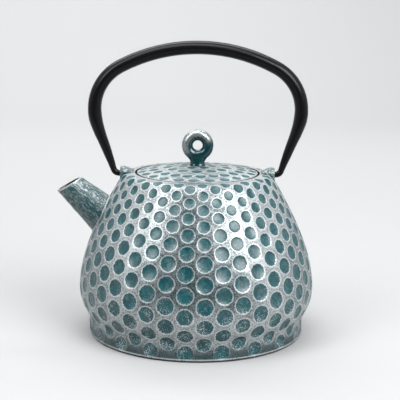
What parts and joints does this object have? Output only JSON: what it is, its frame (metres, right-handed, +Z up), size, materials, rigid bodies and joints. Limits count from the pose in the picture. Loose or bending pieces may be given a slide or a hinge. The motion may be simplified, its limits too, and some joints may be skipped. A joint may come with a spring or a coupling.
{
  "type": "cast iron teapot",
  "caption": "Cast iron teapot with a dimpled enamelled body, short straight spout, ring-knob lid, swinging bail handle and lift-out steel infuser.",
  "frame": {"origin": "centre of the flat face that the pot stands on", "axes": "+Z up along the pot's axis, -X out along the spout, the handle's pivot axis along X"},
  "size_m": [0.179, 0.164, 0.2032],
  "materials": {
    "enamelled_iron": "satin teal enamel, lands brushed silver",
    "knob_iron": "satin teal enamel with brushed silver highlights",
    "handle_black": "satin black",
    "infuser_steel": "bright",
    "steel_fitting": "dull"
  },
  "bodies": {
    "pot": {"pot_body": "enamelled_iron"},
    "infuser": {"infuser_rim": "infuser_steel", "infuser_wall": "infuser_steel", "infuser_floor": "infuser_steel", "infuser_floor_ring": "infuser_steel"},
    "lid": {"lid": "enamelled_iron", "lid_knob": "knob_iron", "knob_washer": "steel_fitting"},
    "handle": {"bail_handle": "handle_black"}
  },
  "joints": [
    {"name": "infuser_lift", "type": "slide", "parent": "pot", "child": "infuser", "axis": [0, 0, 1], "range_m": [0, 0.018]},
    {"name": "lid_lift", "type": "slide", "parent": "infuser", "child": "lid", "axis": [0, 0, 1], "range_m": [0, 0.028]},
    {"name": "handle_swing", "type": "hinge", "parent": "pot", "child": "handle", "pos_m": [0, 0, 0.1115], "axis": [1, 0, 0], "range_deg": [-110, 110]}
  ]
}
